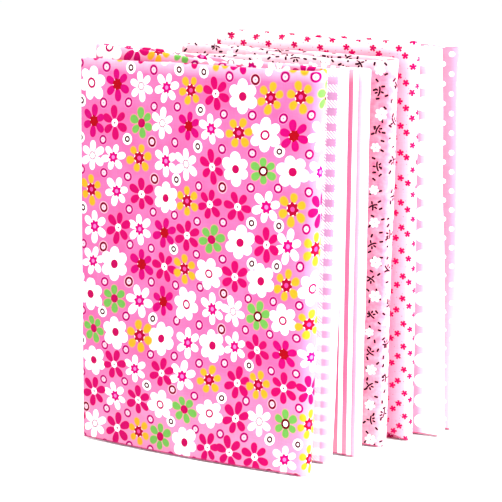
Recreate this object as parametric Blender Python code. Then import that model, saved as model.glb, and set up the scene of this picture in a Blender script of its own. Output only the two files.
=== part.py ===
"""Seven fat quarters of printed cotton, folded and stood on edge in a row.

Each cloth is a cut of about 500 by 550 mm. It is doubled over a ridge at the top, which puts
its raw edges at the bottom, and is then folded in three: the front panel runs to a rounded
spine at the right, the back panel returns to a tight fold at the left, and the middle panel
is tucked between them. So each cloth is one solid of six plies, a little apart.

X runs along the panels, Y from the front of the row to its back, and Z up.
"""

import math
from collections import namedtuple

import bpy

MM = 0.001

PLY = 1.4  # thickness of one ply, in mm like every length up to the last function
PLY_GAP = 0.8  # between the two plies of a doubled panel
HALF = PLY + PLY_GAP / 2  # half the thickness of a doubled panel

PANEL_STEPS = 6
SPINE_STEPS = 10
TUCK_STEPS = 6
RIDGE_STEPS = 4
LEVELS = (0.0, 0.5, 1.0)  # heights of the points up a ply, as a share of its height

BARREL = 0.8  # how far the panels stand out halfway up
MIDDLE_DROP = 4.0  # the middle panel's ridge sinks this far at its inner end
END_CLEARANCE = 0.9  # between the middle panel's inner end and the spine's centre
ROW_CENTRE = (120.3, 64.7)  # of the row's box, from the floral cloth's left front corner

# left, front: the left front corner at the bottom, from that of the floral cloth
# turn: in degrees, the right end going back where it is above 0
# width, height, thick: of the folded cloth, the height being that of the front ridge
# tuck: from the front panel's left edge to the left fold behind it
# rise_left, rise_right: the back ridge above the front one
# lean_x, lean_y: how far the top stands to the right and to the back of the bottom
# bow_low, bow_high: how far the middle stands forward at the bottom and at the top
# lift: the front panel's raw edges above the floor
Cloth = namedtuple(
    "Cloth",
    "name left front turn width height thick tuck rise_left rise_right"
    " lean_x lean_y bow_low bow_high lift",
)

CLOTHS = (
    Cloth(
        name="floral_quarter", left=0, front=0, turn=0.0,
        width=173.6, height=275, thick=15.0, tuck=6,
        rise_left=8.5, rise_right=1, lean_x=7.5, lean_y=0, bow_low=4, bow_high=1, lift=0,
    ),
    Cloth(
        name="gingham_quarter", left=15, front=16.1, turn=3.5,
        width=165.1, height=272, thick=13.5, tuck=8,
        rise_left=1, rise_right=0, lean_x=7.3, lean_y=0, bow_low=1, bow_high=1, lift=0,
    ),
    Cloth(
        name="stripe_quarter", left=29, front=32.2, turn=4.6,
        width=165.7, height=271, thick=14.4, tuck=10,
        rise_left=1, rise_right=0, lean_x=1, lean_y=0, bow_low=0, bow_high=0, lift=0,
    ),
    Cloth(
        name="blossom_quarter", left=46.1, front=50.2, turn=7.0,
        width=159.5, height=275, thick=12.8, tuck=6,
        rise_left=6, rise_right=1, lean_x=2, lean_y=0, bow_low=1, bow_high=0, lift=0,
    ),
    Cloth(
        name="star_quarter", left=79, front=69.2, turn=8.0,
        width=140.6, height=286, thick=11.6, tuck=5,
        rise_left=3, rise_right=0, lean_x=-3.4, lean_y=0, bow_low=0, bow_high=0, lift=2.5,
    ),
    Cloth(
        name="large_dot_quarter", left=88, front=84.3, turn=8.0,
        width=151.2, height=280, thick=13.2, tuck=9,
        rise_left=1, rise_right=0, lean_x=-12.2, lean_y=0, bow_low=0, bow_high=0, lift=0,
    ),
    Cloth(
        name="small_dot_quarter", left=91, front=100.1, turn=8.0,
        width=152, height=280, thick=13.0, tuck=7,
        rise_left=1, rise_right=0, lean_x=-7.5, lean_y=0, bow_low=0, bow_high=0, lift=0,
    ),
)


def spaced(start, end, steps):
    """The points from start to end without the last one."""
    return [start + (end - start) * step / steps for step in range(steps)]


def smooth(share):
    share = min(max(share, 0.0), 1.0)
    return share * share * (3 - 2 * share)


def back_rise(cloth, x):
    """How far the back ridge stands above the front one at x."""
    return cloth.rise_left + (cloth.rise_right - cloth.rise_left) * smooth(x / cloth.width)


def fold_path(cloth):
    """Stations (x, y, nx, ny, ridge, lift) along the middle of the doubled cloth, from above.

    The path starts at the front panel's raw edge and winds inwards. nx, ny points outwards.
    """
    pitch = cloth.thick / 2 - HALF
    front, middle, back = HALF, HALF + pitch, HALF + 2 * pitch
    spine_x = cloth.width - HALF - pitch
    tuck_x = cloth.tuck + HALF + pitch / 2
    path = []
    for x in spaced(0, spine_x, PANEL_STEPS):
        path.append((x, front, 0, -1, 0, cloth.lift))
    for angle in spaced(-90, 90, SPINE_STEPS):
        c, s = math.cos(math.radians(angle)), math.sin(math.radians(angle))
        share = (angle + 90) / 180
        rise = back_rise(cloth, spine_x) * share
        path.append(
            (spine_x + pitch * c, middle + pitch * s, c, s, rise, cloth.lift * (1 - share))
        )
    for x in spaced(spine_x, tuck_x, PANEL_STEPS):
        path.append((x, back, 0, 1, back_rise(cloth, x), 0))
    for angle in spaced(90, 270, TUCK_STEPS):
        c, s = math.cos(math.radians(angle)), math.sin(math.radians(angle))
        radius = pitch / 2
        path.append(
            (tuck_x + radius * c, middle + radius + radius * s, c, s, back_rise(cloth, tuck_x), 0)
        )
    inner_x = spine_x - END_CLEARANCE
    for x in spaced(tuck_x, inner_x, PANEL_STEPS) + [inner_x]:
        sunk = MIDDLE_DROP * smooth((x - tuck_x) / (inner_x - tuck_x))
        path.append((x, middle, 0, -1, back_rise(cloth, x) - sunk, 0))
    return path


def placed(cloth, x, y, z):
    """A point of the folded cloth, bowed, leant, turned and set in the row."""
    up = z / cloth.height
    across = x / cloth.width
    bow = cloth.bow_low + (cloth.bow_high - cloth.bow_low) * up
    outward = (2 * y / cloth.thick - 1) * BARREL * 4 * up * (1 - up)
    x += cloth.lean_x * up
    y += cloth.lean_y * up - bow * 4 * across * (1 - across) + outward
    c, s = math.cos(math.radians(cloth.turn)), math.sin(math.radians(cloth.turn))
    return (
        (cloth.left + x * c - y * s - ROW_CENTRE[0]) * MM,
        (cloth.front + x * s + y * c - ROW_CENTRE[1]) * MM,
        z * MM,
    )


def ply_loop(offset, floor, shoulder):
    """(offset, z) up one side of a doubled panel, over its ridge and down the other side."""
    side = [(offset, floor + (shoulder - floor) * level) for level in LEVELS]
    ridge = []
    for step in range(1, RIDGE_STEPS):
        angle = math.pi * step / RIDGE_STEPS
        ridge.append((offset * math.cos(angle), shoulder + offset * math.sin(angle)))
    return side + ridge + [(-q, z) for q, z in reversed(side)]


def folded_cloth(cloth):
    """Sweeps the doubled panel's section, two plies joined at the ridge, along the fold path."""
    points = []
    for x, y, nx, ny, rise, lift in fold_path(cloth):
        shoulder = cloth.height + rise - HALF
        outer = ply_loop(HALF, lift, shoulder)
        inner = ply_loop(HALF - PLY, lift, shoulder)
        for q, z in outer + inner:
            points.append(placed(cloth, x + q * nx, y + q * ny, z))
    row = 2 * len(LEVELS) + RIDGE_STEPS - 1
    loop = list(range(row)) + list(range(2 * row - 1, row - 1, -1))
    stations = len(points) // (2 * row)
    faces = []
    for station in range(stations - 1):
        here, there = station * 2 * row, (station + 1) * 2 * row
        for a, b in zip(loop, loop[1:] + loop[:1]):
            faces.append((here + a, there + a, there + b, here + b))
    last = (stations - 1) * 2 * row
    for a in range(row - 1):
        faces.append((a, a + 1, row + a + 1, row + a))
        faces.append((last + a, last + row + a, last + row + a + 1, last + a + 1))
    mesh = bpy.data.meshes.new(cloth.name)
    mesh.from_pydata(points, [], faces)
    mesh.update()
    solid = bpy.data.objects.new(cloth.name, mesh)
    bpy.context.scene.collection.objects.link(solid)


for startup in list(bpy.data.objects):
    bpy.data.objects.remove(startup, do_unlink=True)

for each in CLOTHS:
    folded_cloth(each)
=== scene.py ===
# %% [markdown]
# # A row of seven fat quarters
# A fat quarter is a cut of quilting cotton of about 50 by 55 cm. The shop doubles it, folds it
# in three and stands it on edge, so that its rounded fold shows like the spine of a book. This
# lesson dresses seven of them: it sweeps each cloth along its fold, then draws its print with
# nodes. A picture of each print would be quicker, but a drawn print stays sharp at any size.

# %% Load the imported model
import math
from collections import namedtuple

import bpy
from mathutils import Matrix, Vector, noise


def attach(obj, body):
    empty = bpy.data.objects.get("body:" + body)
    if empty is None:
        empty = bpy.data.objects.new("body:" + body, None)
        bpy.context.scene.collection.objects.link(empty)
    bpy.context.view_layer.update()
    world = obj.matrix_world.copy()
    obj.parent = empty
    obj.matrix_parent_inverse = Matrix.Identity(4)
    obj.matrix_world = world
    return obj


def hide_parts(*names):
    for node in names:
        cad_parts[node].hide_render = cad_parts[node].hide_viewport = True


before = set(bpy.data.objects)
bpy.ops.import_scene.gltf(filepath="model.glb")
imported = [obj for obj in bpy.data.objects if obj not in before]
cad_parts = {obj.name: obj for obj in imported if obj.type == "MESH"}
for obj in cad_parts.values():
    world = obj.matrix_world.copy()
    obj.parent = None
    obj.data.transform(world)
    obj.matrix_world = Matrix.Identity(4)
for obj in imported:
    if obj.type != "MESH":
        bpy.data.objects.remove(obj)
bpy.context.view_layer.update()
print("Cloths to dress:", ", ".join(sorted(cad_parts)))

# %% [markdown]
# ## The camera
# The row is seen from its front right, a little from above, through a long lens that keeps the
# upright folds nearly parallel. A camera could also be aimed by a Track To constraint, but three
# plain angles are easier to read back later.

# %% Camera
CAMERA_PLACE = (0.3757, -0.8777, 0.393)
CAMERA_TILT = 75.0  # degrees, where 90 looks level
CAMERA_SWING = 24.1  # degrees to the left of straight back
LENS = 100.8  # mm
FILM_WIDE = 36.0  # mm

camera_data = bpy.data.cameras.new("camera")
camera_data.lens = LENS
camera_data.sensor_width = FILM_WIDE
camera = bpy.data.objects.new("camera", camera_data)
camera.location = CAMERA_PLACE
camera.rotation_euler = (math.radians(CAMERA_TILT), 0.0, math.radians(CAMERA_SWING))
bpy.context.scene.collection.objects.link(camera)
bpy.context.scene.camera = camera
print("Camera stands", round(Vector(CAMERA_PLACE).length, 2), "m from the middle of the row")

# %% [markdown]
# ## Light
# Cloth for sale is shown in a white tent: light comes from everywhere, a low window on the right
# rolls over the rounded folds and bleaches them, a high lamp at the front left leaves a soft
# shadow where each cloth meets its neighbour, and a skylight brightens the ridges. A white world
# is the tent, and three area lamps are the rest. A panorama of a studio could light the row as
# well, but lamps with names can be moved and dimmed one at a time.

# %% The tent
TENT = 1.03  # brightness of the white world
WHITE_LIGHT = (1.0, 1.0, 1.0, 1.0)

world = bpy.data.worlds.new("tent")
world.use_nodes = True
tent = world.node_tree.nodes["Background"]
tent.inputs["Color"].default_value = WHITE_LIGHT
tent.inputs["Strength"].default_value = TENT
bpy.context.scene.world = world
bpy.context.scene.view_settings.view_transform = "Standard"
print("The tent shines at", TENT)

# %% The lamps
MIDDLE = Vector((0.0, 0.0, 0.14))  # of the row, where the lamps point


def softbox(name, place, size, watts):
    data = bpy.data.lights.new(name, "AREA")
    data.shape = "SQUARE"
    data.size = size
    data.energy = watts
    lamp = bpy.data.objects.new(name, data)
    lamp.location = place
    lamp.rotation_euler = (MIDDLE - Vector(place)).to_track_quat("-Z", "Y").to_euler()
    bpy.context.scene.collection.objects.link(lamp)
    print(name, "stands at", place, "with", watts, "W")


softbox("window", place=(1.5, -0.16, 0.58), size=0.6, watts=78.0)
softbox("lamp", place=(-0.75, -1.15, 1.35), size=0.7, watts=16.0)
softbox("skylight", place=(0.0, 0.0, 1.3), size=0.7, watts=10.0)

# %% [markdown]
# ## The floor
# The cloths stand on plain white paper, so wide that its edge never shows. The plane that the
# Add menu makes would do as well, but a mesh of four corners needs nothing to be selected first.

# %% Floor
FLOOR_HALF = 7.0
PAPER_WHITE = (0.93, 0.93, 0.93, 1.0)

paper = bpy.data.materials.new("white_paper")
paper.use_nodes = True
paper_shader = paper.node_tree.nodes["Principled BSDF"]
paper_shader.inputs["Base Color"].default_value = PAPER_WHITE
paper_shader.inputs["Roughness"].default_value = 0.9
paper_shader.inputs["Specular IOR Level"].default_value = 0.0
floor_mesh = bpy.data.meshes.new("floor")
corners = [(-1, -1), (1, -1), (1, 1), (-1, 1)]
corner_points = [(x * FLOOR_HALF, y * FLOOR_HALF, 0.0) for x, y in corners]
floor_mesh.from_pydata(corner_points, [], [(0, 1, 2, 3)])
floor_mesh.materials.append(paper)
floor = bpy.data.objects.new("floor", floor_mesh)
bpy.context.scene.collection.objects.link(floor)
print("The floor reaches", FLOOR_HALF, "m each way")

# %% [markdown]
# ## The seven cloths
# Every fat quarter is folded by the same rule, and only its measures differ, so one table holds
# them all. They could be seven hand-made meshes, but then a change in the way of folding would
# have to be made seven times.

# %% Measures of the cloths, in mm
MM = 0.001
ROW_CENTRE = (120.3, 64.7)  # of the row's box, from the first cloth's left front corner

# left, front and turn set the cloth in the row; width, height and thick are its folded size
# tuck: from the front panel's left edge to the left fold behind it
# rise_left, rise_right: the back ridge above the front one
# lean: how far the top stands to the right; bow: how far the middle stands forward
# lift: how far the front panel of the plain solid stands above the floor
Cloth = namedtuple(
    "Cloth",
    "name slot left front turn width height thick tuck rise_left rise_right"
    " lean bow_low bow_high lift",
)


def fat_quarter(kind, **measures):
    """A cloth, with its node and its material named for its kind of print."""
    return Cloth(name=kind + "_quarter", slot=kind + "_cotton", **measures)


CLOTHS = (
    fat_quarter(
        "floral", left=0, front=0, turn=0.0, width=173.6, height=275, thick=15.0, tuck=6,
        rise_left=8.5, rise_right=1, lean=7.5, bow_low=4, bow_high=1, lift=0,
    ),
    fat_quarter(
        "gingham", left=15, front=16.1, turn=3.5, width=165.1, height=272, thick=13.5, tuck=8,
        rise_left=1, rise_right=0, lean=7.3, bow_low=1, bow_high=1, lift=0,
    ),
    fat_quarter(
        "stripe", left=29, front=32.2, turn=4.6, width=165.7, height=271, thick=14.4, tuck=10,
        rise_left=1, rise_right=0, lean=1, bow_low=0, bow_high=0, lift=0,
    ),
    fat_quarter(
        "blossom", left=46.1, front=50.2, turn=7.0, width=159.5, height=275, thick=12.8, tuck=6,
        rise_left=6, rise_right=1, lean=2, bow_low=1, bow_high=0, lift=0,
    ),
    fat_quarter(
        "star", left=79, front=69.2, turn=8.0, width=140.6, height=286, thick=11.6, tuck=5,
        rise_left=3, rise_right=0, lean=-3.4, bow_low=0, bow_high=0, lift=2.5,
    ),
    fat_quarter(
        "large_dot", left=88, front=84.3, turn=8.0, width=151.2, height=280, thick=13.2, tuck=9,
        rise_left=1, rise_right=0, lean=-12.2, bow_low=0, bow_high=0, lift=0,
    ),
    fat_quarter(
        "small_dot", left=91, front=100.1, turn=8.0, width=152, height=280, thick=13.0, tuck=7,
        rise_left=1, rise_right=0, lean=-7.5, bow_low=0, bow_high=0, lift=0,
    ),
)
print(len(CLOTHS), "cloths, the widest", max(cloth.width for cloth in CLOTHS), "mm")

# %% [markdown]
# ## Ridges and hems
# A doubled cloth has its ridge at the top and its two raw edges, the hems, at the bottom. The
# back ridge climbs a little to the left, and the front hem hangs just clear of the floor and
# sinks towards the spine. Both could be drawn as curves, but each is a level with one soft step
# in it, and a step is one line of sums.

# %% Ridges and hems
HEM = 1.6  # the front panel's raw edges hang this far above the floor
HEM_SUNK = 0.35  # share of it that is gone at the spine
SINK_START = 18  # mm before the cloth's right end
SINK_LENGTH = 14
LIFT_SHARE = 1.5  # a cloth whose solid is lifted hangs this many times as high


def smooth(share):
    """A soft step: 0 up to 0, 1 from 1 on, and level at both ends."""
    share = min(max(share, 0.0), 1.0)
    return share * share * (3 - 2 * share)


def back_rise(cloth, x):
    """How far the back ridge stands above the front one at x."""
    return cloth.rise_left + (cloth.rise_right - cloth.rise_left) * smooth(x / cloth.width)


def hem(cloth, x):
    """How far the front panel's raw edges hang above the floor at x."""
    near_spine = smooth((x - cloth.width + SINK_START) / SINK_LENGTH)
    return HEM * (1 - HEM_SUNK * near_spine) + cloth.lift * LIFT_SHARE * (1 - near_spine)


print("The left ends hang at", [round(hem(cloth, 0), 2) for cloth in CLOTHS], "mm")

# %% [markdown]
# ## The fold
# Looked at from above, the doubled cloth starts at the front panel's raw edge, runs to the
# round spine, comes back behind, and tucks its last third in between. The path is a list of
# stations, each with its place, the way that is outwards there, the rise of its ridge and the
# lift of its hem. A curve object could hold the same path, but the last third also has to sink
# a little, and a list shows every such number.

# %% The fold path
ROOM = 1.8  # half the room that a doubled panel has, mm
STEP = 4.2  # between stations on a panel, mm
SPINE_STEPS = 16
TUCK_STEPS = 10
MIDDLE_DROP = 4.0  # the middle panel's ridge sinks this far at its inner end
END_CLEARANCE = 0.9  # between the middle panel's inner end and the spine's centre

Station = namedtuple("Station", "x y nx ny rise lift")  # nx, ny points outwards


def spaced(start, end):
    """Even steps from start to end, without the last one."""
    steps = max(2, round(abs(end - start) / STEP))
    return [start + (end - start) * step / steps for step in range(steps)]


def fold_path(cloth):
    """The stations of the fold, from the front panel's raw edge inwards."""
    pitch = cloth.thick / 2 - ROOM
    front, middle, back = ROOM, ROOM + pitch, ROOM + 2 * pitch
    spine_x = cloth.width - ROOM - pitch
    tuck_x = cloth.tuck + ROOM + pitch / 2
    inner_x = spine_x - END_CLEARANCE
    path = [Station(x, front, 0, -1, 0, hem(cloth, x)) for x in spaced(0, spine_x)]
    for step in range(SPINE_STEPS):
        share = step / SPINE_STEPS
        c, s = math.cos(math.pi * (share - 0.5)), math.sin(math.pi * (share - 0.5))
        rise = back_rise(cloth, spine_x) * share
        lift = hem(cloth, spine_x) * (1 - share) ** 2
        path.append(Station(spine_x + pitch * c, middle + pitch * s, c, s, rise, lift))
    for x in spaced(spine_x, tuck_x):
        path.append(Station(x, back, 0, 1, back_rise(cloth, x), 0))
    for step in range(TUCK_STEPS):
        angle = math.pi * (0.5 + step / TUCK_STEPS)
        c, s = math.cos(angle), math.sin(angle)
        x, y = tuck_x + pitch / 2 * c, middle + pitch / 2 + pitch / 2 * s
        path.append(Station(x, y, c, s, back_rise(cloth, tuck_x), 0))
    for x in spaced(tuck_x, inner_x) + [inner_x]:
        sunk = MIDDLE_DROP * smooth((x - tuck_x) / (inner_x - tuck_x))
        path.append(Station(x, middle, 0, -1, back_rise(cloth, x) - sunk, 0))
    return path


for cloth in CLOTHS:
    print(cloth.name, "has", len(fold_path(cloth)), "stations along its fold")

# %% [markdown]
# ## How a ply lies
# Each panel is two plies that stand back to back. Cotton is never quite flat, so each ply lies a
# little inside the room it has, by a soft noise that is fixed by its place on the cut. The noise
# goes round the folds with the cloth, as real unevenness does. Cloth physics could drape a flat
# cut over itself too, but a pressed cloth keeps the folds it was given, and this rule gives them
# at once.

# %% How a ply lies
BARREL = 0.8  # how far the panels stand out halfway up, mm
SLACK = 0.8  # how far a ply may lie inside its room, mm
BROAD_WAVES = (48, 75)  # mm along the cut and up it
SMALL_WAVES = (15, 24)
LIE = 0.45  # how far into its slack a ply lies between the waves, before the soft step
BROAD_SHARE, SMALL_SHARE = 0.75, 0.28  # what the waves add or take away
APART = 7.3  # sets the small waves apart from the broad ones
RIM = 9.0  # the plies close up over this distance from a raw edge, mm
RIM_CLOSED = 0.85  # as a share of the slack


def placed(cloth, x, y, z):
    """A point of the folded cloth, bowed, leant, turned and set in the row, in metres."""
    up = z / cloth.height
    across = x / cloth.width
    bow = cloth.bow_low + (cloth.bow_high - cloth.bow_low) * up
    outward = (2 * y / cloth.thick - 1) * BARREL * 4 * up * (1 - up)
    x += cloth.lean * up
    y += outward - bow * 4 * across * (1 - across)
    c, s = math.cos(math.radians(cloth.turn)), math.sin(math.radians(cloth.turn))
    return Vector((
        (cloth.left + x * c - y * s - ROW_CENTRE[0]) * MM,
        (cloth.front + x * s + y * c - ROW_CENTRE[1]) * MM,
        z * MM,
    ))


def waves(u, v, size, seed):
    return noise.noise(Vector((u / size[0], v / size[1], seed)))


def slack(cloth, u, v, around):
    """How far the ply lies inside its room at u along the cut and v across it, in mm."""
    broad = waves(u, v, BROAD_WAVES, cloth.left)
    small = waves(u, v, SMALL_WAVES, cloth.left + APART)
    lie = smooth(LIE + BROAD_SHARE * broad + SMALL_SHARE * small)
    rim = 1 - smooth(min(u, v, around - v) / RIM)
    return SLACK * max(lie, RIM_CLOSED * rim)


print("A ply lies up to", SLACK, "mm inside its room")

# %% [markdown]
# ## Painted highlight
# Each cloth is painted paler along its spine, its ridge and its hem: a painted highlight for the
# strong light of the tent, which washes the spine out from the window, the ridge from above and
# the hem from the bright floor. The tint of the ground goes first, and the strong inks stay. This
# could be painted on by hand, but three soft steps on the flat cut say the same, and each cloth
# can have its own.

# %% Painted highlight
# start and full: from the raw edge to where the painted highlight on the spine begins and is
# whole, mm
# slant: how far that line shifts for each mm of height
# ridge_deep and hem_high: how far the painted highlight reaches from the ridge and from the hem,
# mm
# spine, ridge and hem: how strong it is, from 0 to 1
Fade = namedtuple("Fade", "start full slant spine ridge_deep ridge hem_high hem")
# painted highlight for each cloth: where and how strongly its print is paled to bare cotton for
# strong light
HIGHLIGHTS = {
    "floral_quarter": Fade(
        start=150.0, full=180.0, slant=0.0, spine=0.12, ridge_deep=5.0, ridge=0.3,
        hem_high=90.0, hem=0.12,
    ),
    "gingham_quarter": Fade(
        start=166.0, full=171.0, slant=0.0185, spine=0.9, ridge_deep=8.0, ridge=0.2,
        hem_high=200.0, hem=0.1,
    ),
    "stripe_quarter": Fade(
        start=157.0, full=172.0, slant=0.012, spine=0.44, ridge_deep=8.0, ridge=0.2,
        hem_high=60.0, hem=0.12,
    ),
    "blossom_quarter": Fade(
        start=146.5, full=164.5, slant=0.0, spine=0.14, ridge_deep=6.0, ridge=0.4,
        hem_high=90.0, hem=0.12,
    ),
    "star_quarter": Fade(
        start=122.0, full=149.0, slant=0.0, spine=0.58, ridge_deep=10.0, ridge=0.7,
        hem_high=60.0, hem=0.0,
    ),
    "large_dot_quarter": Fade(
        start=132.0, full=140.5, slant=-0.022, spine=0.97, ridge_deep=10.0, ridge=0.9,
        hem_high=1.0, hem=0.0,
    ),
    "small_dot_quarter": Fade(
        start=149.0, full=161.0, slant=0.0, spine=0.8, ridge_deep=5.0, ridge=0.0,
        hem_high=160.0, hem=0.24,
    ),
}
BACK_EDGE = 12  # the paling is gone this far behind the spine, mm


def painted_highlight(cloth, u, v, shoulder):
    """0 where the print is untouched, 1 where the painted highlight turns it to bare cotton."""
    highlight = HIGHLIGHTS[cloth.name]
    far_side = cloth.width + cloth.thick
    spine = smooth((u + v * highlight.slant - highlight.start) / (highlight.full - highlight.start))
    spine = highlight.spine * spine * (1 - smooth((u - far_side) / BACK_EDGE))
    ridge = highlight.ridge * (1 - smooth((abs(v - shoulder - ROOM) - ROOM) / highlight.ridge_deep))
    hem_part = highlight.hem * (1 - smooth(v / highlight.hem_high))
    return 1 - (1 - spine) * (1 - ridge) * (1 - hem_part)


print("Most paling along a spine:", max(highlight.spine for highlight in HIGHLIGHTS.values()))

# %% [markdown]
# ## The doubled sheet
# The two plies meet in a ridge at the top, so their section is a narrow arch, and sweeping it
# along the path gives one closed sheet. The sheet keeps what its print has to know: a UV map in
# metres, as if the cut lay flat on a table, and at each point whether it is on the printed
# side, how much painted highlight it takes and how high its hem hangs. On its way round a fold
# the outer ply uses more cloth than the inner one, so each ply has its own length in the map. A
# curve with a bevel could be swept too, but it would not tell where on the flat cut each point
# lies.

# %% One section of the sheet
PLY = 0.7  # thickness of one ply, mm
EASE = 30.0  # the outer ply gives up its longer way round over this height under the ridge, mm
SIDE_ROWS = 40
RIDGE_ROWS = 10


def arch(floor, shoulder):
    """(side, z, over) up the outer ply, over the ridge and down the inner ply."""
    levels = [floor + (shoulder - floor) * row / SIDE_ROWS for row in range(SIDE_ROWS + 1)]
    angles = [math.pi * row / RIDGE_ROWS for row in range(1, RIDGE_ROWS)]
    up = [(1.0, z, 0.0) for z in levels]
    over = [(math.cos(angle), shoulder, math.sin(angle)) for angle in angles]
    down = [(-1.0, z, 0.0) for z in reversed(levels)]
    return up + over + down


ROW = len(arch(0, 1))  # points on one face of the doubled cloth at a station


def ridge_height(cloth, rise):
    """The height at which the arch begins, and the length of cloth from hem to hem."""
    shoulder = cloth.height + rise - ROOM
    return shoulder, 2 * shoulder + math.pi * ROOM


def section(cloth, station, used, wound):
    """(point, flat place, right side, painted highlight, lift) for both faces of the cloth at a
    station.
    """
    x, y, nx, ny, rise, lift = station
    shoulder, around = ridge_height(cloth, rise)
    for depth in (0.0, PLY):
        for side, z, over in arch(lift, shoulder):
            if over:
                v = shoulder + math.acos(side) * ROOM
            elif side > 0:
                v = z
            else:
                v = around - z
            reach = ROOM - slack(cloth, used, v, around) - depth
            q = side * reach
            point = placed(cloth, x + q * nx, y + q * ny, z + over * reach)
            u = used + side * ROOM * wound * smooth((shoulder - z) / EASE)
            right_side = 1.0 if depth == 0 else 0.0
            yield point, (u * MM, v * MM), right_side, painted_highlight(cloth, u, v, shoulder), lift


print("Each station of a sheet has", 2 * ROW, "points")

# %% Sweep the sheets
CREASE = 50.0  # degrees, past which an edge stays sharp


def unrolled(path):
    """Each station, with the cloth used so far in mm and the turning so far in radians."""
    used, wound = 0.0, 0.0
    before = path[0]
    for station in path:
        used += math.hypot(station.x - before.x, station.y - before.y)
        wound += math.asin(before.nx * station.ny - before.ny * station.nx)
        before = station
        yield station, used, wound


def sheet_faces(stations):
    """Faces from station to station, round both faces of the cloth, and across its two ends."""
    loop = list(range(ROW)) + list(range(2 * ROW - 1, ROW - 1, -1))
    faces = []
    for station in range(stations - 1):
        here, there = station * 2 * ROW, (station + 1) * 2 * ROW
        for a, b in zip(loop, loop[1:] + loop[:1]):
            faces.append((here + a, there + a, there + b, here + b))
    last = (stations - 1) * 2 * ROW
    for a in range(ROW - 1):
        faces.append((a, a + 1, ROW + a + 1, ROW + a))
        faces.append((last + a, last + ROW + a, last + ROW + a + 1, last + a + 1))
    return faces


def mark_points(mesh, name, kind, values):
    """Keeps a number or a vector at each point, for nodes to read."""
    part = "vector" if kind == "FLOAT_VECTOR" else "value"
    mesh.attributes.new(name, kind, "POINT").data.foreach_set(part, values)


def sweep(cloth):
    """The sheet of a cloth, the size of its cut in metres, and each point's place on the cut."""
    path = fold_path(cloth)
    rows = []
    for station, used, wound in unrolled(path):
        rows += section(cloth, station, used, wound)
    points, flat, right_side, highlighted, lifted = zip(*rows)
    mesh = bpy.data.meshes.new(cloth.name + "_sheet")
    mesh.from_pydata(points, [], sheet_faces(len(path)))
    uv_map = mesh.uv_layers.new(name="flat_cut")
    for corner, spot in zip(mesh.loops, uv_map.data):
        spot.uv = flat[corner.vertex_index]
    mark_points(mesh, "right_side", "FLOAT", right_side)
    # painted highlight: how far each point is painted paler for strong light, kept for the print
    # to read
    mark_points(mesh, "highlighted", "FLOAT", highlighted)
    mark_points(mesh, "lifted", "FLOAT", lifted)
    mesh.polygons.foreach_set("use_smooth", [True] * len(mesh.polygons))
    mesh.set_sharp_from_angle(angle=math.radians(CREASE))
    mesh.update()
    sheet = bpy.data.objects.new(cloth.name + "_sheet", mesh)
    bpy.context.scene.collection.objects.link(sheet)
    _, around = ridge_height(cloth, path[-1].rise)
    return sheet, (used * MM, around * MM), flat


sheets, cuts, cut_places = {}, {}, {}
for cloth in CLOTHS:
    sheets[cloth.name], cuts[cloth.name], cut_places[cloth.name] = sweep(cloth)
    count = len(sheets[cloth.name].data.polygons)
    print(cloth.name, "cut", [round(side, 3) for side in cuts[cloth.name]], "m,", count, "faces")

# %% [markdown]
# ## Writing a print as sums
# A printed cloth repeats, so its print can be worked out from the place on the cloth. Blender
# does such sums with Math nodes, and a hundred of them wired by hand are hard to read. This
# small class lets a sum be written as a sum: each sign adds a node to the material. The sign &
# marks where both of two masks are 1, and | where either is.

# %% Sums made of nodes
def feed(tree, part, entry):
    """Links a field into a node's entry, or fills in a plain number."""
    if isinstance(part, Field):
        tree.links.new(part.socket, entry)
    else:
        entry.default_value = part


class Field:
    """A number that varies over the cloth, held by the output of a node."""

    def __init__(self, socket):
        self.socket = socket
        self.tree = socket.id_data

    def node(self, operation, *others):
        made = self.tree.nodes.new("ShaderNodeMath")
        made.operation = operation
        for entry, part in zip(made.inputs, (self,) + others):
            feed(self.tree, part, entry)
        return Field(made.outputs[0])

    def __rsub__(self, number):
        return self * -1.0 + number


def written_as(operation):
    """A sign or a function that adds a Math node of this kind."""

    def apply(field, *others):
        return field.node(operation, *others)

    return apply


SIGNS = {
    "__add__": "ADD", "__sub__": "SUBTRACT", "__mul__": "MULTIPLY", "__truediv__": "DIVIDE",
    "__lt__": "LESS_THAN", "__gt__": "GREATER_THAN", "__abs__": "ABSOLUTE",
    "__and__": "MULTIPLY", "__or__": "MAXIMUM",
}
for sign, operation in SIGNS.items():
    setattr(Field, sign, written_as(operation))

floor_of = written_as("FLOOR")
fraction = written_as("FRACT")
cosine = written_as("COSINE")
sine = written_as("SINE")
root = written_as("SQRT")
larger = written_as("MAXIMUM")
smaller = written_as("MINIMUM")
print(len(SIGNS), "signs can be used in a sum")

# %% Places and angles
def distance(x, y):
    return root(x * x + y * y)


def bearing(x, y):
    """The angle at which a place is seen from the middle, in radians."""
    return y.node("ARCTAN2", x)


def clipped(field):
    """The field kept between 0 and 1."""
    return smaller(larger(field, 0.0), 1.0)


def turned(x, y, angle):
    """x and y in a frame that is turned by an angle, a number or a field in radians."""
    if isinstance(angle, Field):
        c, s = cosine(angle), sine(angle)
    else:
        c, s = math.cos(angle), math.sin(angle)
    return x * c + y * s, y * c - x * s


def cells(u, v, wide, high):
    """Column, row, and the place in the cell from its middle, in mm."""
    column = floor_of(u / wide)
    row = floor_of(v / high)
    return column, row, u - (column + 0.5) * wide, v - (row + 0.5) * high


def slipped_cells(u, v, wide, high, slip):
    """Cells of which each column has slipped down by slip against the last."""
    return cells(u, v + floor_of(u / wide) * slip, wide, high)


def odd(number):
    """1 where a whole number is odd, 0 where it is even."""
    return fraction(number * 0.5) * 2.0


def strayed(x, y, chance_x, chance_y, reach):
    """x and y from a middle that chance has moved, by half of reach at most each way."""
    return x - (chance_x - 0.5) * reach[0], y - (chance_y - 0.5) * reach[1]


print("A quarter turn takes (1, 0) to", [round(n, 2) for n in turned(1.0, 0.0, math.pi / 2)])

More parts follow.
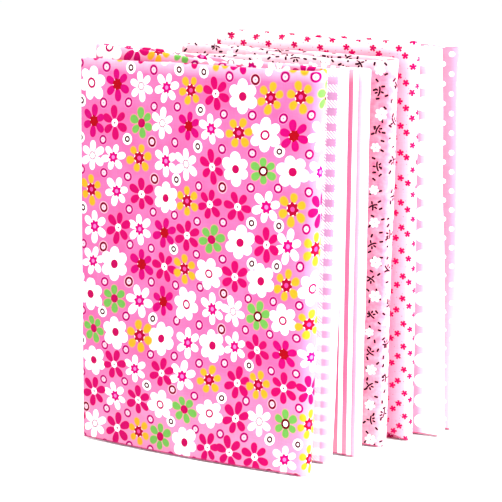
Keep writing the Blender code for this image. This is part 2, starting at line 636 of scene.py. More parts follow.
# %% [markdown]
# ## Inks and chance
# Printers speak of inks on a ground, so a print here is a ground colour with inks painted over
# it, each where a mask is 1. Flowers that differ from one another are thrown by chance: a
# White Noise node gives each cell of the print its own fixed numbers. Colours are written as
# they look in the tent, and the light there is brighter than 1, so each is divided by it. They
# could be set as plain numbers, but a screen colour is easier to compare with real cloth.

# %% Inks
LIGHT = 2.0  # how bright the tent lights a sheet that faces the camera
WARMTH = 1.3  # the pinks glow, so their red is dyed this much stronger
MOST = (0.85, 0.8, 0.8)  # no dye reflects more red, green and blue than this
BARE_COTTON = (0.8, 0.8, 0.8, 1.0)
MIX_SHARE, MIX_UNDER, MIX_OVER, MIX_COLOUR = 0, 6, 7, 2  # a Mix node's sockets for colours


def ink(code):
    """The dye that looks like this screen colour in the tent's light."""
    levels = [int(code[k:k + 2], 16) / 255 for k in (1, 3, 5)]
    linear = [c / 12.92 if c <= 0.04045 else ((c + 0.055) / 1.055) ** 2.4 for c in levels]
    red, green, blue = [c / LIGHT for c in linear]
    dyes = (red * WARMTH, green, blue)
    return tuple(min(dye, most) for dye, most in zip(dyes, MOST)) + (1.0,)


def paint(tree, ground, colour, where, blend="MIX"):
    """The ground with a colour over it where the mask is 1."""
    mix = tree.nodes.new("ShaderNodeMix")
    mix.data_type = "RGBA"
    mix.blend_type = blend
    feed(tree, where, mix.inputs[MIX_SHARE])
    for part, entry in ((ground, mix.inputs[MIX_UNDER]), (colour, mix.inputs[MIX_OVER])):
        if isinstance(part, tuple):
            entry.default_value = part
        else:
            tree.links.new(part, entry)
    return mix.outputs[MIX_COLOUR]


print("A dye that looks #FF9BD0 reflects", [round(c, 2) for c in ink("#FF9BD0")[:3]])

# %% Chance
def three_numbers(tree, socket):
    """A vector or a colour as three fields."""
    split = tree.nodes.new("ShaderNodeSeparateXYZ")
    tree.links.new(socket, split.inputs[0])
    return [Field(output) for output in split.outputs]


def chances(column, row, salt):
    """Three numbers from 0 to 1, fixed by chance for each cell; each salt is another throw."""
    tree = column.tree
    place = tree.nodes.new("ShaderNodeCombineXYZ")
    for part, entry in zip((column, row, salt), place.inputs):
        feed(tree, part, entry)
    throw = tree.nodes.new("ShaderNodeTexWhiteNoise")
    throw.noise_dimensions = "3D"
    tree.links.new(place.outputs[0], throw.inputs["Vector"])
    return three_numbers(tree, throw.outputs["Color"])


def pick(chance, choices):
    """One of the choices, each with the same chance; each is a colour or up to three numbers."""
    ramp = chance.tree.nodes.new("ShaderNodeValToRGB")
    ramp.color_ramp.interpolation = "CONSTANT"
    stops = ramp.color_ramp.elements
    for index, choice in enumerate(choices):
        place = index / len(choices)
        stop = stops[index] if index < 2 else stops.new(place)
        stop.position = place
        stop.color = tuple(choice) + (1.0,) * (4 - len(choice))
    chance.tree.links.new(chance.socket, ramp.inputs[0])
    return ramp.outputs[0]


def pick_numbers(chance, choices):
    return three_numbers(chance.tree, pick(chance, choices))


print("Chance and choice are ready for", len(CLOTHS), "prints")

# %% [markdown]
# ## The cotton itself
# Quilting cotton is a plain weave of about 25 threads to the centimetre: over one, under one,
# both ways. Up close the threads catch the light one by one, and from a step away they leave
# a matt, slightly uneven cloth with a soft bloom at its folds. Threads could be modelled one by
# one, but a cut has more than a million crossings, so the weave is a bump of crossed waves on
# the flat cut, and the bloom is the shader's sheen. The reverse of the cloth shows the print
# only faintly, and along a hanging hem a deep rose line of painted shade stands for the shadow
# under it.

# %% Reading the cloth
def noise_field(tree, vector, scale, detail, stretch=None):
    if stretch:
        mapping = tree.nodes.new("ShaderNodeMapping")
        mapping.inputs["Scale"].default_value = stretch
        tree.links.new(vector, mapping.inputs["Vector"])
        vector = mapping.outputs[0]
    cloud = tree.nodes.new("ShaderNodeTexNoise")
    cloud.inputs["Scale"].default_value = scale
    cloud.inputs["Detail"].default_value = detail
    tree.links.new(vector, cloud.inputs["Vector"])
    return Field(cloud.outputs[0])


def blotches(tree, place, scale, detail, contrast):
    """Soft patches over the cloth, from 0 to 1."""
    return clipped((noise_field(tree, place, scale, detail) - 0.5) * contrast + 0.5)


def attribute(tree, name):
    mark = tree.nodes.new("ShaderNodeAttribute")
    mark.attribute_name = name
    return Field(mark.outputs["Fac"])


marks = [mark.name for mark in sheets[CLOTHS[0].name].data.attributes if mark.data_type == "FLOAT"]
print("Every point of a sheet keeps", ", ".join(marks))

# %% The cotton under every print
THREAD = 0.4  # mm from thread to thread
REVERSE = 0.4  # how much paler the back of the cloth is
HEM_SHADE_BAND = 1.0  # mm of each front hem painted with a deep rose shade, for the shadow under it
HEM_SHADE_LIFT = 0.9  # the shade is painted only where the hem hangs higher than this, mm
# the deep rose of the painted shade under a hanging hem
HEM_SHADE_INK = ink("#B03C74")
HEM_SHADE_STRENGTH = 0.85
SLUBS = 900.0  # thick places in the threads, to the metre
SLUB_STRETCH = 0.12  # they are short across the thread, and this makes them long along it
SLUB_SHADE = 0.16
SLUB_HEIGHT, WEAVE_HEIGHT = 0.9, 0.5  # shares of the relief
RELIEF = 0.00012  # m
RELIEF_STRENGTH = 0.6
FINISH = {
    "Roughness": 0.88, "Specular IOR Level": 0.04, "Sheen Weight": 0.04, "Sheen Roughness": 0.45,
}


def weave(tree, place, u, v, colour):
    """Crossed threads with their slubs, as a shade on the colour and as relief."""
    shader = tree.nodes["Principled BSDF"]
    warp = sine(u * (math.tau / THREAD))
    weft = sine(v * (math.tau / THREAD))
    slubs = noise_field(tree, place, SLUBS, detail=2.0, stretch=(1.0, SLUB_STRETCH, 1.0))
    slubs = slubs + noise_field(tree, place, SLUBS, detail=2.0, stretch=(SLUB_STRETCH, 1.0, 1.0))
    worn = (slubs - 1.0) * SLUB_SHADE + 1.0
    colour = paint(tree, colour, worn.socket, 1.0, blend="MULTIPLY")
    tree.links.new(colour, shader.inputs["Base Color"])
    bump = tree.nodes.new("ShaderNodeBump")
    bump.inputs["Strength"].default_value = RELIEF_STRENGTH
    bump.inputs["Distance"].default_value = RELIEF
    height = warp * weft * WEAVE_HEIGHT + slubs * SLUB_HEIGHT
    tree.links.new(height.socket, bump.inputs["Height"])
    tree.links.new(bump.outputs[0], shader.inputs["Normal"])
    for name, value in FINISH.items():
        shader.inputs[name].default_value = value


def printed_cotton(name, draw_print):
    """A cotton material. draw_print hands back a colour for the place on the cut, in mm."""
    material = bpy.data.materials.new(name)
    material.use_nodes = True
    tree = material.node_tree
    flat_cut = tree.nodes.new("ShaderNodeUVMap")
    flat_cut.uv_map = "flat_cut"
    place = flat_cut.outputs[0]
    u, v, _ = [metres * (1 / MM) for metres in three_numbers(tree, place)]
    # draw_print also gets the painted highlight: the share by which the print is painted paler for
    # strong light
    colour = draw_print(tree, place, u, v, attribute(tree, "highlighted"))
    reverse = (1.0 - attribute(tree, "right_side")) * REVERSE
    colour = paint(tree, colour, BARE_COTTON, reverse)
    lifted = attribute(tree, "lifted")
    # painted shade: a deep rose band along the foot of each hanging front hem, for the shadow
    # under it
    hem_shade = (v - lifted < HEM_SHADE_BAND) & (lifted > HEM_SHADE_LIFT)
    colour = paint(tree, colour, HEM_SHADE_INK, hem_shade * HEM_SHADE_STRENGTH)
    weave(tree, place, u, v, colour)
    print(name, "is drawn by", len(tree.nodes), "nodes")
    return material


# %% [markdown]
# ## One flower
# A printed daisy is a ring of six petals round a centre. In polar terms every petal is the same
# petal turned, so the angle is folded into one sector and a single egg shape is tested there.
# Drawing each petal apart would take six times as many nodes. A hand-drawn flower is never
# even, so chance makes each petal a little longer or shorter than the next.

# %% Petals
PETALS = 6
SECTOR = math.tau / PETALS
EGG = 0.2  # how much wider a petal is towards its tip
TOUCHING = 0.6  # share of the sector's half width at which neighbours just touch
UNEVEN = 0.16  # by how much petals differ in length
NEXT_PETAL = 0.13  # sets the throws of a flower's petals apart


def petal_mask(r, angle, fat, inner, soft, uneven=None):
    """1 inside six petals that reach from inner to 1; at fat 1 neighbours just touch."""
    fold = (fraction(angle / SECTOR) - 0.5) * SECTOR
    if uneven:
        column, row = uneven
        petal = floor_of(angle / SECTOR)
        longer, _, _ = chances(column + petal * NEXT_PETAL, row, salt=2.0)
        r = r / (longer * UNEVEN + (1 - UNEVEN / 2))
    middle, half_length = (inner + 1.0) * 0.5, (1.0 - inner) * 0.5
    along = (r * cosine(fold) - middle) / half_length
    aside = r * sine(fold) / (along * EGG + 1.0) / (fat * (SECTOR * 0.5 * TOUCHING))
    inside = 1.0 - (along * along + aside * aside)
    return clipped(inside / soft)


print("Each petal has", round(math.degrees(SECTOR)), "degrees of the flower")

# %% [markdown]
# ## The printer's book of daisies
# The floral cloth mixes nine kinds of daisy, white, magenta, yellow and green. Each kind could be
# a material of its own, but all of them are one flower with other measures and inks, so they
# are entries in a book, and chance opens it at a page for each flower.

# %% Kinds of daisy
FlowerKind = namedtuple(
    "FlowerKind",
    "petal_ink fat inner soft centre_ink centre scallop eye_ink eye halo_ink halo size",
)
WHITE = BARE_COTTON  # the printer leaves it out
CRISP, SOFT = 0.12, 0.5
PLUMP = FlowerKind(
    petal_ink=WHITE, fat=1.1, inner=0.0, soft=CRISP, centre_ink=ink("#BC0060"), centre=0.26,
    scallop=0.0, eye_ink=WHITE, eye=0.0, halo_ink=WHITE, halo=0.4, size=1.02,
)
RINGED = PLUMP._replace(fat=1.02, centre_ink=ink("#B80468"), centre=0.29, eye=0.165)
SLIM = PLUMP._replace(
    fat=0.78, inner=0.16, centre_ink=ink("#D00088"), centre=0.35, scallop=0.3,
    eye_ink=ink("#F290E0"), eye=0.13, halo=0.24, size=0.96,
)
PALE = SLIM._replace(
    centre_ink=ink("#B888A8"), centre=0.27, scallop=0.0, eye_ink=WHITE, eye=0.19,
)
MAGENTA = PLUMP._replace(
    petal_ink=ink("#CA0070"), fat=0.8, inner=0.2, centre_ink=WHITE, centre=0.23,
    eye_ink=ink("#A05080"), eye=0.07, halo_ink=ink("#FF90CC"), halo=0.26, size=1.0,
)
RED_EYED = MAGENTA._replace(
    petal_ink=ink("#CA0080"), centre_ink=ink("#AC0018"), centre=0.34, scallop=0.22, eye=0.0,
    halo_ink=WHITE, halo=0.34, size=0.95,
)
YELLOW = PLUMP._replace(
    petal_ink=ink("#FFC42C"), fat=0.92, inner=0.3, soft=SOFT, centre_ink=ink("#AC0038"),
    centre=0.37, scallop=0.24, eye_ink=ink("#F050AC"), eye=0.14, halo=0.38, size=0.98,
)
GREEN = PLUMP._replace(
    petal_ink=ink("#70CC5C"), fat=0.98, inner=0.18, soft=SOFT, centre_ink=ink("#68001C"),
    centre=0.33, eye=0.18, halo_ink=ink("#FFC0DC"), halo=0.33, size=0.97,
)
LEAFY = GREEN._replace(centre_ink=ink("#BC0060"), centre=0.29, eye=0.0)
PALE_DAISIES = (SLIM, PLUMP, RINGED, SLIM, PALE, MAGENTA, PLUMP, SLIM, YELLOW)
BRIGHT_DAISIES = (MAGENTA, YELLOW, RED_EYED, SLIM, GREEN, MAGENTA, RED_EYED, YELLOW, LEAFY)
print(len(set(PALE_DAISIES + BRIGHT_DAISIES)), "kinds of daisy in the printer's book")

# %% Strew daisies
DAISY_RADIUS = 10.1
DAISY_STRETCH = 1.17
DAISY_JITTER = (3.0, 0.8)
DAISY_TURN = 0.7  # radians
SMALLEST, SIZE_RANGE = 0.92, 0.1  # of its kind's size, and how much more chance may add
SCALLOPS = 7.0
KIND_SALT = 5.0  # sets the throw of the kind apart from that of the place


def strew_daisies(tree, ground, u, v, wide, high, book, salt):
    """Daisies from a book of kinds over the ground, one in each cell."""
    column, row, x, y = cells(u, v, wide, high)
    off_x, off_y, turn = chances(column, row, salt)
    kind, size, _ = chances(column, row, salt + KIND_SALT)

    def of_kind(*names):
        return pick_numbers(kind, [[getattr(each, name) for name in names] for each in book])

    def dye(name):
        return pick(kind, [getattr(each, name) for each in book])

    fat, inner, soft = of_kind("fat", "inner", "soft")
    centre, eye, scallop = of_kind("centre", "eye", "scallop")
    halo, full_size, _ = of_kind("halo", "size", "size")
    x, y = strayed(x, y, off_x, off_y, DAISY_JITTER)
    x, y = turned(x, y / DAISY_STRETCH, (turn - 0.5) * DAISY_TURN)
    r = distance(x, y) / (full_size * DAISY_RADIUS * (size * SIZE_RANGE + SMALLEST))
    angle = bearing(x, y)
    ground = paint(tree, ground, dye("halo_ink"), r < halo)
    heads = petal_mask(r, angle, fat, inner, soft, uneven=(column, row))
    ground = paint(tree, ground, dye("petal_ink"), heads)
    hub = r < (cosine(angle * SCALLOPS) * scallop * 0.5 + 1.0) * centre
    ground = paint(tree, ground, dye("centre_ink"), hub)
    return paint(tree, ground, dye("eye_ink"), r < eye)


print("A daisy is about", round(2 * DAISY_RADIUS * (SMALLEST + SIZE_RANGE / 2), 1), "mm wide")

# %% [markdown]
# ## The floral print
# Daisies stand in loose rows on a pink ground, and a small ring fills each gap between four of
# them. The rows are kept from looking ruled by a slow warp of the whole repeat. Neighbours
# nearly touch, so odd and even columns are strewn as two layers of wide cells: a daisy in the
# middle of a wide cell is never cut off at its cell's edge. One layer with a look at every
# neighbouring cell would do the same with far more nodes.

# %% Rings
DAISY_PITCH = 18.3
DAISY_ROW = 24.6
HOOP_JITTER = (2.6, 2.6)
HOOP_DOT = 0.04  # cm, like the other measures of a ring
MM_IN_CM = 0.1

RingKind = namedtuple("RingKind", "disc_ink disc band_ink band middle_ink middle dot_ink")
HOOP = RingKind(
    disc_ink=ink("#FF9AD6"), disc=0.33, band_ink=ink("#B00078"), band=0.295,
    middle_ink=ink("#FFE8FA"), middle=0.165, dot_ink=ink("#B08CA8"),
)
WINE_HOOP = HOOP._replace(disc_ink=ink("#FFC8E0"), disc=0.36, band_ink=ink("#7C0030"))
PEARL = HOOP._replace(
    disc_ink=WHITE, disc=0.35, band_ink=ink("#5C2838"), band=0.2, middle_ink=WHITE,
    middle=0.085, dot_ink=WHITE,
)
HOOPS = (HOOP, PEARL, HOOP, WINE_HOOP, HOOP, HOOP, PEARL, HOOP)


def strew_hoops(tree, ground, u, v):
    """Small rings, one in each cell."""
    column, row, x, y = cells(u, v, DAISY_PITCH, DAISY_ROW)
    off_x, off_y, kind = chances(column, row, salt=11.0)
    x, y = strayed(x, y, off_x, off_y, HOOP_JITTER)
    r = distance(x, y / DAISY_STRETCH) * MM_IN_CM
    disc, band, middle = pick_numbers(kind, [(k.disc, k.band, k.middle) for k in HOOPS])
    reaches = {"disc_ink": disc, "band_ink": band, "middle_ink": middle, "dot_ink": HOOP_DOT}
    for name, reach in reaches.items():
        ground = paint(tree, ground, pick(kind, [getattr(k, name) for k in HOOPS]), r < reach)
    return ground


print(len(set(HOOPS)), "kinds of ring")

# %% Floral print
WARP = 4.5  # mm each way
BLUSH = (ink("#FF74B8"), ink("#FF88C8"))


def floral_print(tree, place, u, v, painted_light):
    ground = paint(tree, *BLUSH, blotches(tree, place, scale=45.0, detail=2.0, contrast=3.0))
    # painted highlight: the ground is paled to bare cotton where strong light washes it out
    ground = paint(tree, ground, BARE_COTTON, painted_light)
    warp_u = noise_field(tree, place, scale=14.0, detail=0.0)
    u = u + (warp_u - 0.5) * (2 * WARP)
    warp_v = noise_field(tree, place, scale=12.0, detail=0.0, stretch=(1.0, 1.0, 2.0))
    v = v + (warp_v - 0.5) * (2 * WARP)
    ground = strew_hoops(tree, ground, u + DAISY_PITCH / 2, v + DAISY_ROW / 2)
    wide, high = 2 * DAISY_PITCH, DAISY_ROW
    near = u + odd(floor_of(v / DAISY_ROW)) * DAISY_PITCH + DAISY_PITCH / 2
    far = near + DAISY_PITCH
    ground = strew_daisies(tree, ground, near, v, wide, high, PALE_DAISIES, salt=17.0)
    return strew_daisies(tree, ground, far, v, wide, high, BRIGHT_DAISIES, salt=71.0)


print("Daisies stand", DAISY_PITCH, "mm apart, in rows of", DAISY_ROW, "mm")

# %% [markdown]
# ## Gingham and stripes
# Woven checks have squares of full colour where two coloured bands cross and of half colour
# where one band crosses white. Printed ones draw the half colour as a fine slanting hatch. A
# stripe is the same with bands one way only. A ramp could hold the bands of one repeat, but what
# is left over from a division gives a whole cloth of them.

# %% Gingham and stripe prints
CHECK_WIDE = 13.2
CHECK_HIGH = 10.05
CHECK_START = 157.6  # from the raw edge to a square's left side
CHECK_FOOT = 1.8  # from the hem to a square's lower side
CHECK_SLOPE = 0.0185  # the squares run askew to the fold
HATCH = 2.2
HATCH_STRENGTH = 0.95
LILAC = ink("#D2AEE0")
STRIPE = 6.35
STRIPE_WIDTH = 3.2
STRIPE_START = 0.65
STRIPE_SLOPE = 0.002
ROSE = ink("#DC76A0")


def half_inked(along):
    """1 in the first half of each repeat."""
    return fraction(along) < 0.5


def gingham_print(tree, place, u, v, painted_light):
    u = u + v * CHECK_SLOPE
    up = half_inked((v - CHECK_FOOT) / CHECK_HIGH)
    across = half_inked((u - CHECK_START) / CHECK_WIDE)
    hatch = half_inked((u + v) / HATCH)
    inked = (up & across) | ((up | across) & hatch * HATCH_STRENGTH)
    # painted highlight: the checks are paled to bare cotton where strong light washes them out
    return paint(tree, BARE_COTTON, LILAC, inked & (1.0 - painted_light))


def stripe_print(tree, place, u, v, painted_light):
    inked = fraction((u + v * STRIPE_SLOPE - STRIPE_START) / STRIPE) < STRIPE_WIDTH / STRIPE
    # painted highlight: the stripes are paled to bare cotton where strong light washes them out
    return paint(tree, BARE_COTTON, ROSE, inked & (1.0 - painted_light))


print("Squares are", CHECK_WIDE / 2, "mm wide, and stripes", STRIPE_WIDTH, "mm")

# %% [markdown]
# ## Blossoms and sprigs
# The fourth cloth has a mottled ground, as if sponged, with small white blossoms and dark
# sprigs thrown every way. A sprig is a curved stem with three leaves beside it. Sprigs could be
# instances on the cloth, but ink has no thickness, so one is drawn in each cell and turned by
# chance.

# %% Strokes of the brush
def stroke(x, y, where, angle, length, width):
    """1 inside a short stroke, with round ends."""
    along, aside = turned(x - where[0], y - where[1], angle)
    past_end = larger(abs(along) - (length - width) / 2, 0.0)
    return distance(past_end, aside) < width / 2


HERE = (0.0, 0.0)
STEM_BEND = 0.06
STEM_DROP = 0.3  # mm
LEAF_LONG, LEAF_WIDE = 2.4, 1.3
LEAVES = (((-1.3, 1.9), 2.1), ((0.9, 2.0), 1.1), ((-0.2, -2.2), 1.3))  # place and slant of each


def sprig(x, y):
    """1 inside a curved stem and its leaves."""
    bent = y - x * x * STEM_BEND + STEM_DROP
    stem = stroke(x, bent, HERE, angle=0.0, length=7.0, width=1.25)
    for where, slant in LEAVES:
        stem = stem | stroke(x, y, where, slant, LEAF_LONG, LEAF_WIDE)
    return stem


print("A sprig has", len(LEAVES), "leaves")

# %% Blossom print
PLUM = ink("#30182A")
EYE_INK = ink("#D898B4")
EYE_RADIUS = 0.12  # as a share of the blossom
BLOSSOM_STRENGTH = 0.9
SPONGED = (ink("#F47CA8"), ink("#FFB8D0"))
DASH_WIDE, DASH_HIGH, DASH_SLIP = 6.2, 7.8, 4.0  # of the cells, and from column to column
DASH_JITTER = (3.4, 4.6)
SPRIG_WIDE, SPRIG_HIGH, SPRIG_SLIP = 12.0, 13.0, 6.5
SPRIG_JITTER = (3.6, 4.4)
SPRIG_START = 2.0
BLOSSOM_RADIUS, BLOSSOM_RANGE = 3.4, 1.3  # the smallest, and how much more chance may add


def blossom_print(tree, place, u, v, painted_light):
    ground = paint(tree, *SPONGED, blotches(tree, place, scale=230.0, detail=3.0, contrast=2.5))
    # painted highlight: the ground is paled to bare cotton where strong light washes it out
    ground = paint(tree, ground, BARE_COTTON, painted_light)

    column, row, x, y = slipped_cells(u, v, DASH_WIDE, DASH_HIGH, DASH_SLIP)
    off_x, off_y, turn = chances(column, row, salt=4.0)
    x, y = strayed(x, y, off_x, off_y, DASH_JITTER)
    x, y = turned(x, y, turn * math.tau)
    dash = stroke(x, y, HERE, angle=0.0, length=3.0, width=1.45)
    ground = paint(tree, ground, PLUM, dash)

    column, row, x, y = slipped_cells(u + SPRIG_START, v, SPRIG_WIDE, SPRIG_HIGH, SPRIG_SLIP)
    sprigged = odd(column + row)
    off_x, off_y, turn = chances(column, row, salt=14.0)
    x, y = strayed(x, y, off_x, off_y, SPRIG_JITTER)
    r = distance(x, y) / (off_x * BLOSSOM_RANGE + BLOSSOM_RADIUS)
    angle = bearing(x, y) + turn * math.tau
    head = petal_mask(r, angle, fat=1.05, inner=0.0, soft=0.6) & (1.0 - sprigged)
    ground = paint(tree, ground, BARE_COTTON, head * BLOSSOM_STRENGTH)
    ground = paint(tree, ground, EYE_INK, (r < EYE_RADIUS) & (1.0 - sprigged))
    x, y = turned(x, y, turn * math.tau)
    return paint(tree, ground, PLUM, sprig(x, y) & sprigged)


print("Blossoms are", 2 * BLOSSOM_RADIUS, "mm wide or more")

# %% [markdown]
# ## Stars and dots
# The last three prints are small repeats. The stars stand in close columns, each column
# slipped against the next so that no row shows. The dots stand in half-drop: every second
# column is half a repeat lower. Chance could place them as well, but printers lay these out by
# rule, and the eye finds the columns at once.

# %% Star print
STAR_CHART = (0.0, 0.26, 0.69, 0.44)  # how high the stars of each column stand, in pitches
STAR_COLUMN = 4.5
STAR_PITCH = 17.4
STAR_START = (127.5, 7.4)  # the place of one star of the first column
STAR_SLOPE = 0.033
STAR_RADIUS = 2.35
STAR_JITTER = (0.9, 1.6)
STAR_TURN = 1.2  # radians
STAR_LOBES = 5
LOBE, NOTCH = 0.75, 0.46  # how far the lobes swell, and how far out their notches lie
CRIMSON = ink("#C80060")
SHELL = (ink("#FF98BE"), ink("#FFACCC"))
SPECK_WIDE, SPECK_HIGH = 5.5, 6.0
SPECK_START, SPECK_SLIP = 1.4, 2.0
SPECK_JITTER = (3.4, 3.4)
SPECK_RADIUS = 0.36
SPECK_INK = ink("#D890AC")


def star_print(tree, place, u, v, painted_light):
    ground = paint(tree, *SHELL, noise_field(tree, place, scale=120.0, detail=2.0))
    # painted highlight: the ground is paled to bare cotton where strong light washes it out
    ground = paint(tree, ground, BARE_COTTON, painted_light)

    slip = floor_of(u / SPECK_WIDE) * SPECK_SLIP
    column, row, x, y = cells(u + SPECK_START, v + slip, SPECK_WIDE, SPECK_HIGH)
    off_x, off_y, _ = chances(column, row, salt=6.0)
    speck = distance(*strayed(x, y, off_x, off_y, SPECK_JITTER)) < SPECK_RADIUS
    ground = paint(tree, ground, SPECK_INK, speck)

    wide = len(STAR_CHART) * STAR_COLUMN
    across = u + v * STAR_SLOPE - STAR_START[0] + wide / 2
    up = v - STAR_START[1] + STAR_PITCH / 2
    for order, high in enumerate(STAR_CHART):
        aside = across - order * STAR_COLUMN
        column, row, x, y = cells(aside, up - high * STAR_PITCH, wide, STAR_PITCH)
        off_x, off_y, turn = chances(column, row, salt=2.0 + order)
        x, y = strayed(x, y, off_x, off_y, STAR_JITTER)
        angle = bearing(x, y) + (turn - 0.5) * STAR_TURN
        lobes = abs(cosine((angle - math.pi / 2) * (STAR_LOBES / 2))) * LOBE + NOTCH
        star = distance(x, y) / STAR_RADIUS < smaller(lobes, 1.0)
        ground = paint(tree, ground, CRIMSON, star)
    return ground


print(len(STAR_CHART), "columns of stars in a repeat")

# %% Dot prints
def dotted(ground_code, wide, high, radius, start, slope):
    """A print of white dots in half-drop; start is the place of one dot."""

    def draw(tree, place, u, v, painted_light):
        across = u + v * slope - start[0] + wide / 2
        up = v - start[1] + high / 2
        _, _, x, y = slipped_cells(across, up, wide, high, high / 2)
        # painted highlight: the ground is paled to bare cotton where strong light washes it out
        ground = paint(tree, ink(ground_code), BARE_COTTON, painted_light)
        return paint(tree, ground, BARE_COTTON, distance(x, y) < radius)

    return draw


large_dot_print = dotted(
    "#FFA8CA", wide=13.0, high=15.35, radius=5.0, start=(134.2, 11.75), slope=-0.02,
)
small_dot_print = dotted(
    "#FF94B2", wide=5.8, high=13.6, radius=1.8, start=(149.6, 2.5), slope=0.012,
)

# %% Print the cloths
PRINTS = {
    "floral_cotton": floral_print,
    "gingham_cotton": gingham_print,
    "stripe_cotton": stripe_print,
    "blossom_cotton": blossom_print,
    "star_cotton": star_print,
    "large_dot_cotton": large_dot_print,
    "small_dot_cotton": small_dot_print,
}

for cloth in CLOTHS:
    material = printed_cotton(cloth.slot, PRINTS[cloth.slot])
    sheets[cloth.name].data.materials.append(material)

# %% [markdown]
# ## Cut ends of thread
# A blade leaves every thread of a raw edge cut through, and handling works the last ones loose.
# They are short here, because the cuts are new. A hair system could grow them, but it doesn't
# leave real geometry behind. Geometry Nodes walk along a guide line on the raw edge, set one
# small tube at each step, and tilt and shorten it by chance. The guide line tells each thread
# which way is off the edge and which place on the print gives it its colour.

# %% The guide along the raw edges
MIN_DROP = 0.95  # threads hang only where the hem clears the floor by this, in mm
OUTER_KEEP = 0.2  # share of the steps that get a thread, on the outer ply's hem
INNER_KEEP = 1.0
SIDE_KEEP = 0.12


def edge_runs(cloth):
    """(point, the way off the edge, keep) along both hems and up the front panel's side."""
    turn = math.radians(cloth.turn)
    down = (0.0, 0.0, -1.0)
    aside = (-math.cos(turn), -math.sin(turn), 0.0)
    hanging = [k for k, station in enumerate(fold_path(cloth)) if station.lift > MIN_DROP]
    return [
        [(k * 2 * ROW, down, OUTER_KEEP) for k in hanging],
        [(k * 2 * ROW + ROW - 1, down, INNER_KEEP) for k in hanging],
        [(k, aside, SIDE_KEEP) for k in range(ROW)],
    ]


def edge_guide(cloth, sheet, places):
    """Lines in the middle of the raw edges, with what each thread has to know."""
    co = [vertex.co for vertex in sheet.data.vertices]
    points, edges, off_edge, print_places, keeps = [], [], [], [], []
    for run in edge_runs(cloth):
        edges += [(len(points) + k, len(points) + k + 1) for k in range(len(run) - 1)]
        for index, way, keep in run:
            points.append((co[index] + co[index + ROW]) / 2)
            off_edge += way
            print_places += (*places[index], 0.0)
            keeps.append(keep)
    mesh = bpy.data.meshes.new(cloth.name + "_guide")
    mesh.from_pydata(points, edges, [])
    mark_points(mesh, "off_edge", "FLOAT_VECTOR", off_edge)
    mark_points(mesh, "print_place", "FLOAT_VECTOR", print_places)
    mark_points(mesh, "keep", "FLOAT", keeps)
    guide = bpy.data.objects.new(cloth.name + "_threads", mesh)
    bpy.context.scene.collection.objects.link(guide)
    return guide


guides = {}
for cloth in CLOTHS:
    guides[cloth.name] = edge_guide(cloth, sheets[cloth.name], cut_places[cloth.name])
    print(cloth.name, "has", len(guides[cloth.name].data.edges), "steps of guide line")

# %% [markdown]
# ## The tree of thread ends
# The node group is built from a few small parts: one thread, the way it points, its length, and
# the choice of the steps that get one. It could be wired in one long list, but each part can be
# read and changed on its own this way. Its sizes are named inputs, and its seed is fixed.

# %% Nodes in one line
def add_node(tree, kind, entries=(), **settings):
    """A node with its settings made and its entries linked or filled in; gives its outputs."""
    node = tree.nodes.new(kind)
    for name, value in settings.items():
        setattr(node, name, value)
    for entry, part in dict(entries).items():
        if isinstance(part, bpy.types.NodeSocket):
            tree.links.new(part, node.inputs[entry])
        else:
            node.inputs[entry].default_value = part
    return node.outputs


def read_mark(tree, name, kind):
    return add_node(tree, "GeometryNodeInputNamedAttribute", {"Name": name}, data_type=kind)[0]


def store_mark(tree, geometry, name, value, kind, domain):
    entries = {"Geometry": geometry, "Name": name, "Value": value}
    return add_node(
        tree, "GeometryNodeStoreNamedAttribute", entries, data_type=kind, domain=domain,
    )[0]


def throw_number(tree, low, high, seed):
    entries = {2: low, 3: high, "Seed": seed}
    return add_node(tree, "FunctionNodeRandomValue", entries, data_type="FLOAT")[1]


def product(tree, first, second):
    return add_node(tree, "ShaderNodeMath", {0: first, 1: second}, operation="MULTIPLY")[0]


print("A node takes one line, with its settings and what is linked into it")

# %% Parts of the tree
THREAD_SIZES = {"Spacing": 0.0004, "Longest": 0.0009, "Thickness": 0.0003, "Waywardness": 0.3}
THREAD_SIDES = 5
SHORTEST = 0.35  # of the longest
OTHER_THROW = 5.0  # sets the choice of steps apart from the lengths
# metres to the sides, and shares of the thread's length along it, from inside the edge
THREAD_BEND = {
    "Start": (0.0, 0.0, -0.2), "Middle": (0.00025, 0.0, 0.6), "End": (-0.0001, 0.0002, 1.0),
}


def one_thread(tree, given):
    """A bent tube, 1 long, that stands on its root."""
    strand = add_node(
        tree, "GeometryNodeCurveQuadraticBezier", dict(THREAD_BEND, Resolution=2),
    )[0]
    radius = product(tree, given["Thickness"], 0.5)
    entries = {"Resolution": THREAD_SIDES, "Radius": radius}
    outline = add_node(tree, "GeometryNodeCurvePrimitiveCircle", entries)[0]
    entries = {"Curve": strand, "Profile Curve": outline, "Fill Caps": True}
    return add_node(tree, "GeometryNodeCurveToMesh", entries)[0]


def thread_way(tree, given):
    """Off the edge, and astray by chance."""
    entries = {0: (-1.0, -1.0, -1.0), 1: (1.0, 1.0, 1.0), "Seed": given["Seed"]}
    astray = add_node(tree, "FunctionNodeRandomValue", entries, data_type="FLOAT_VECTOR")[0]
    entries = {0: astray, "Scale": given["Waywardness"]}
    swerve = add_node(tree, "ShaderNodeVectorMath", entries, operation="SCALE")[0]
    off_edge = read_mark(tree, "off_edge", "FLOAT_VECTOR")
    way = add_node(tree, "ShaderNodeVectorMath", {0: off_edge, 1: swerve})[0]
    return add_node(tree, "FunctionNodeAlignRotationToVector", {"Vector": way}, axis="Z")[0]


def thread_length(tree, given):
    """A scale that makes the one thread as long as chance says."""
    share = throw_number(tree, SHORTEST, 1.0, given["Seed"])
    length = product(tree, share, given["Longest"])
    return add_node(tree, "ShaderNodeCombineXYZ", {0: 1.0, 1: 1.0, 2: length})[0]


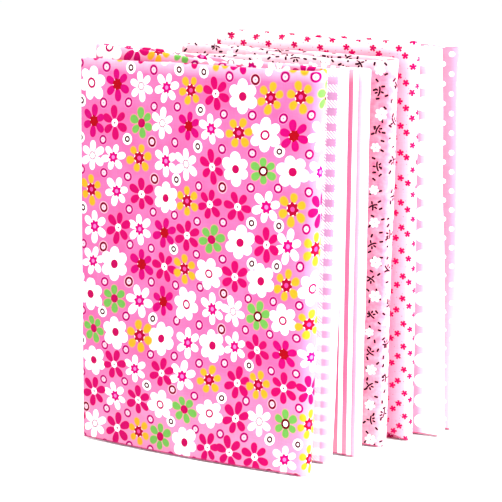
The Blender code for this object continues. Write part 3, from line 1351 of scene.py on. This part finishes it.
def chosen_steps(tree, given):
    """True for the share of the steps that the guide keeps."""
    seed = add_node(tree, "ShaderNodeMath", {0: given["Seed"], 1: OTHER_THROW})[0]
    entries = {0: throw_number(tree, 0.0, 1.0, seed), 1: read_mark(tree, "keep", "FLOAT")}
    return add_node(
        tree, "FunctionNodeCompare", entries, data_type="FLOAT", operation="LESS_THAN",
    )[0]


print("A thread end is", THREAD_SIZES["Longest"] * 1000, "mm long at most")

# %% The thread tree
def thread_tree():
    """A node group that sets cut thread ends along a guide of edges."""
    tree = bpy.data.node_groups.new("cut_thread_ends", "GeometryNodeTree")
    sockets = [("Guide", "Geometry")] + [(name, "Float") for name in THREAD_SIZES]
    for name, kind in sockets + [("Seed", "Int"), ("Cotton", "Material")]:
        tree.interface.new_socket(name, in_out="INPUT", socket_type="NodeSocket" + kind)
    tree.interface.new_socket("Threads", in_out="OUTPUT", socket_type="NodeSocketGeometry")

    given = add_node(tree, "NodeGroupInput")
    line = add_node(tree, "GeometryNodeMeshToCurve", {0: given["Guide"]})[0]
    entries = {"Curve": line, "Length": given["Spacing"]}
    steps = add_node(tree, "GeometryNodeResampleCurve", entries, mode="LENGTH")[0]
    entries = {
        "Points": steps,
        "Selection": chosen_steps(tree, given),
        "Instance": one_thread(tree, given),
        "Rotation": thread_way(tree, given),
        "Scale": thread_length(tree, given),
    }
    copies = add_node(tree, "GeometryNodeInstanceOnPoints", entries)[0]
    whole = add_node(tree, "GeometryNodeRealizeInstances", {0: copies})[0]
    place = read_mark(tree, "print_place", "FLOAT_VECTOR")
    mapped = store_mark(tree, whole, "flat_cut", place, "FLOAT2", "CORNER")
    marked = store_mark(tree, mapped, "right_side", 1.0, "FLOAT", "POINT")
    entries = {"Geometry": marked, "Material": given["Cotton"]}
    dyed = add_node(tree, "GeometryNodeSetMaterial", entries)[0]
    add_node(tree, "NodeGroupOutput", {0: dyed})
    return tree


THREADS = thread_tree()
print("The tree has", len(THREADS.nodes), "nodes")

# %% Grow the thread ends
FIRST_SEED = 11


def grow_threads(cloth, seed):
    """Turns a cloth's guide into its thread ends, as one plain mesh."""
    guide = guides[cloth.name]
    nodes = guide.modifiers.new("thread_ends", "NODES")
    nodes.node_group = THREADS
    values = dict(THREAD_SIZES, Seed=seed, Cotton=bpy.data.materials[cloth.slot])
    for item in THREADS.interface.items_tree:
        if item.in_out == "INPUT" and item.name in values:
            nodes[item.identifier] = values[item.name]
    view = bpy.context.evaluated_depsgraph_get()
    mesh = bpy.data.meshes.new_from_object(
        guide.evaluated_get(view), preserve_all_data_layers=True, depsgraph=view,
    )
    guide.modifiers.remove(nodes)
    guide.data = mesh
    return guide


threads = {}
for order, cloth in enumerate(CLOTHS):
    threads[cloth.name] = grow_threads(cloth, seed=FIRST_SEED + order)
    print(cloth.name, "has", len(threads[cloth.name].data.polygons), "faces of thread ends")

# %% [markdown]
# ## Ready for the frame
# Each sheet takes the place of its plain solid and rides on the one body of the row, with its
# thread ends. Sheet and threads could be joined into one mesh, but apart they can be taken off
# and looked at on their own.

for cloth in CLOTHS:
    sheet = sheets[cloth.name]
    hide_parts(cloth.name)
    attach(sheet, "root")
    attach(threads[cloth.name], "root")
